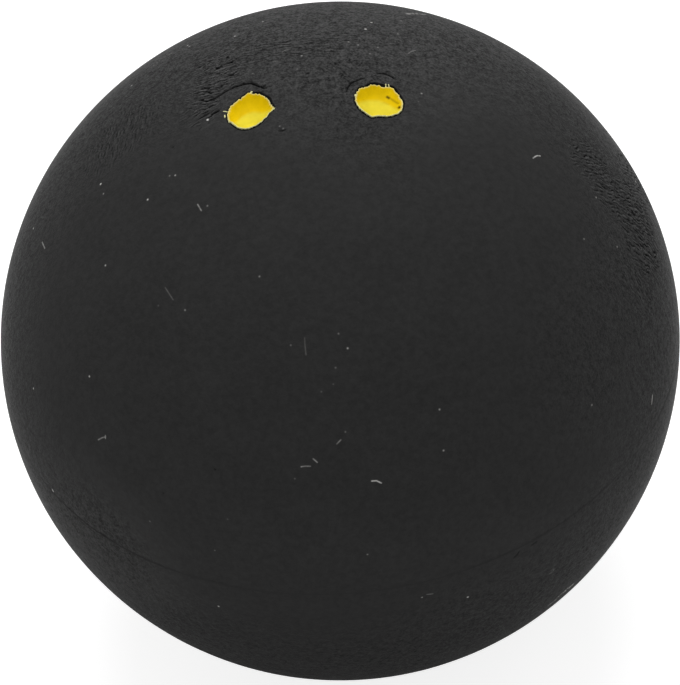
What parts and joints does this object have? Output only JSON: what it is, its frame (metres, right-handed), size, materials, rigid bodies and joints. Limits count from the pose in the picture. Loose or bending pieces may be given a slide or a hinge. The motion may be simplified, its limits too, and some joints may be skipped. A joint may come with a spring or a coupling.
{
  "type": "squash ball",
  "caption": "Hollow matt black rubber ball of two bonded half shells, with a fine seam and painted yellow dimples beside its pole.",
  "frame": {"origin": "centre of the ball", "axes": "+Z out through the pole between the two dots; the seam lies in the XY plane; the dots stand side by side along X, and -Y faces the viewer of the picture"},
  "size_m": [0.04, 0.04, 0.04],
  "materials": {
    "rubber": "matt, buffed after moulding, with a fine leathery grain",
    "adhesive": "smooth cured rubber solution",
    "dot_paint": "flexible yellow paint, low sheen"
  },
  "bodies": {
    "root": {"dotted_half": "rubber", "plain_half": "rubber", "seam_adhesive": "adhesive", "left_dot_paint": "dot_paint", "right_dot_paint": "dot_paint"}
  },
  "joints": []
}
